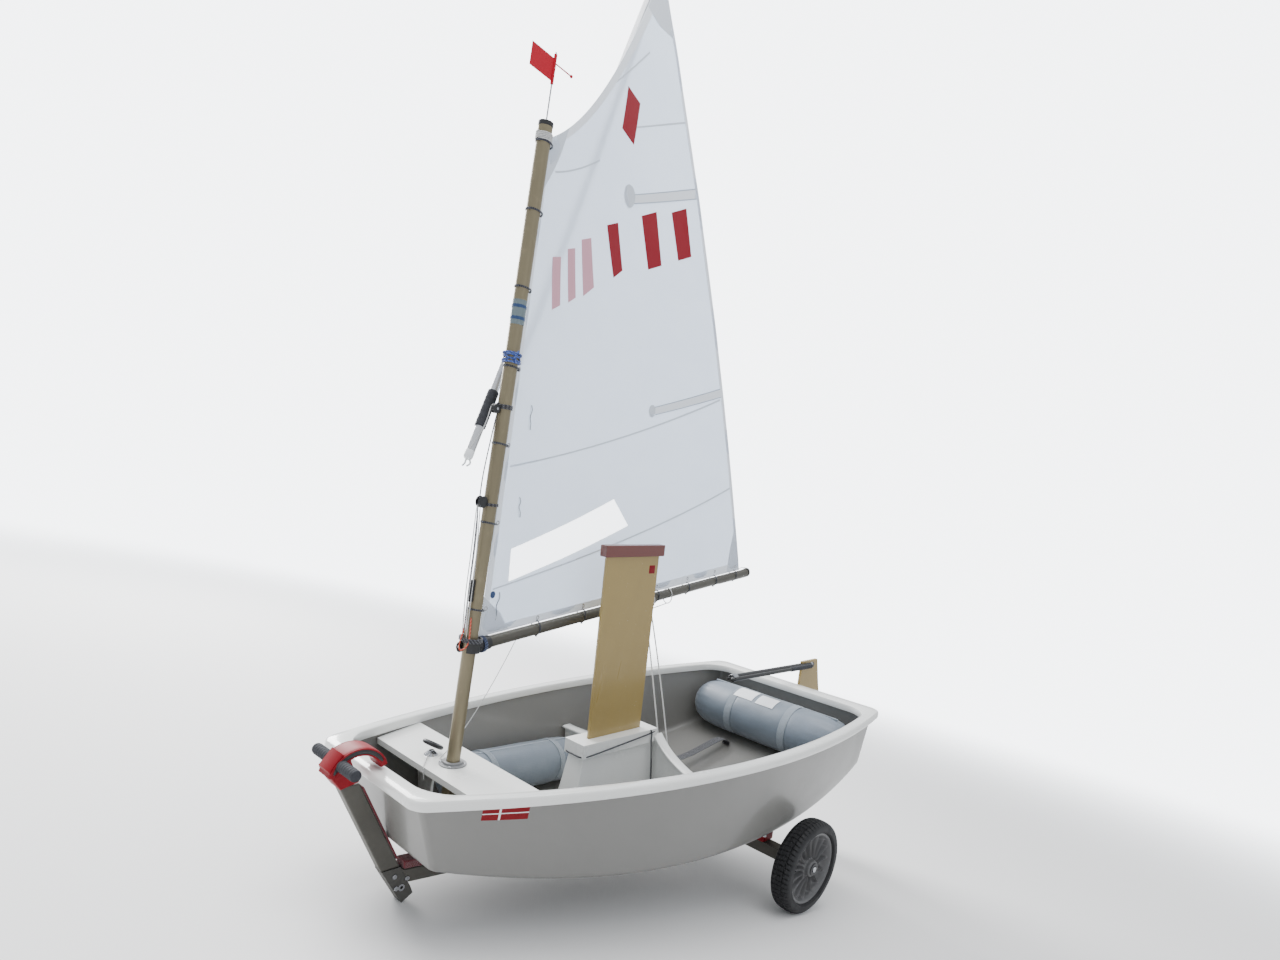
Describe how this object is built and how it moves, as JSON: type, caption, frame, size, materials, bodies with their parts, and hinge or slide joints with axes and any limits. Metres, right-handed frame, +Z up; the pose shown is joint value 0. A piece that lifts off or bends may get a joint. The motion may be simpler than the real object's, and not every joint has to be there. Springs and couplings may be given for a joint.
{
  "type": "sailing dinghy",
  "caption": "Small pram-bowed sprit-rigged training dinghy, sail set and daggerboard raised, resting on its two-wheeled launching dolly.",
  "frame": {"origin": "centre of the underside of the overall box, on the floor", "axes": "+X towards the bow, +Y to port, +Z up"},
  "size_m": [2.8564, 1.24, 3.4555],
  "materials": {
    "hull_gelcoat": "satin",
    "white_gelcoat": "gloss",
    "grey_plastic": "matte",
    "bag_fabric": "satin",
    "black_plastic": "matte",
    "stainless": "brushed",
    "epoxy_foil": "satin",
    "black_tube": "satin",
    "handle_wood": "varnished",
    "spar_anodised": "anodised",
    "boom_anodised": "anodised",
    "sprit_aluminium": "anodised",
    "foam": "matte",
    "sailcloth": "smooth",
    "tie_cord": "braided",
    "vane_red": "matte",
    "dolly_tube": "satin",
    "dolly_casting": "cast",
    "red_webbing": "woven",
    "red_plastic": "moulded",
    "tyre": "moulded",
    "rim_plastic": "moulded"
  },
  "bodies": {
    "boat": {"hull_shell": "hull_gelcoat", "rail": "white_gelcoat", "mast_thwart": "white_gelcoat", "mast_bulkhead": "white_gelcoat", "mast_collar": "grey_plastic", "mast_step": "white_gelcoat", "board_trunk": "white_gelcoat", "midship_frame": "white_gelcoat", "stern_bag": "bag_fabric", "port_bag": "bag_fabric", "starboard_bag": "bag_fabric", "sheet_block": "black_plastic", "rudder_gudgeons": "stainless", "dolly_spine": "dolly_tube", "dolly_foot": "dolly_casting", "dolly_post": "dolly_tube", "spine_pad": "red_webbing", "post_pad": "red_webbing", "bow_hook": "red_plastic", "handle_bar": "stainless", "handle_grips": "foam", "axle_beam": "dolly_tube", "chocks": "red_plastic"},
    "rudder": {"rudder_blade": "epoxy_foil", "rudder_pintles": "stainless", "tiller": "black_tube", "tiller_extension": "black_tube"},
    "daggerboard": {"daggerboard": "epoxy_foil", "board_handle": "handle_wood"},
    "rig": {"mast": "spar_anodised", "mast_plug": "black_plastic", "boom": "boom_anodised", "boom_jaws": "black_plastic", "boom_cap": "black_plastic", "sprit": "sprit_aluminium", "sprit_grip": "foam", "sail": "sailcloth", "luff_ties": "tie_cord", "foot_ties": "tie_cord", "sprit_tackle": "black_plastic", "vane_stem": "stainless"},
    "wind_vane": {"wind_vane": "vane_red"},
    "port_wheel": {"port_tyre": "tyre", "port_rim": "rim_plastic"},
    "starboard_wheel": {"starboard_tyre": "tyre", "starboard_rim": "rim_plastic"}
  },
  "joints": [
    {"name": "rudder_turn", "type": "hinge", "parent": "boat", "child": "rudder", "pos_m": [-1.08193, 0, 0.74871], "axis": [0.1834, 0, 0.983], "range_deg": [-45, 45]},
    {"name": "board_lift", "type": "slide", "parent": "boat", "child": "daggerboard", "axis": [0.1834, 0, 0.983], "range_m": [0, 0.35]},
    {"name": "boom_swing", "type": "hinge", "parent": "boat", "child": "rig", "pos_m": [0.95736, 0, 0.45265], "axis": [0.1013, 0, 0.9949], "range_deg": [-5.5, 75]},
    {"name": "vane_turn", "type": "hinge", "parent": "rig", "child": "wind_vane", "pos_m": [1.17316, 0, 2.57243], "axis": [0.1013, 0, 0.9949], "continuous": true},
    {"name": "port_wheel_turn", "type": "hinge", "parent": "boat", "child": "port_wheel", "pos_m": [-0.47233, 0.576, 0.194], "axis": [0, 1, 0], "continuous": true},
    {"name": "starboard_wheel_turn", "type": "hinge", "parent": "boat", "child": "starboard_wheel", "pos_m": [-0.47233, -0.576, 0.194], "axis": [0, 1, 0], "continuous": true}
  ]
}
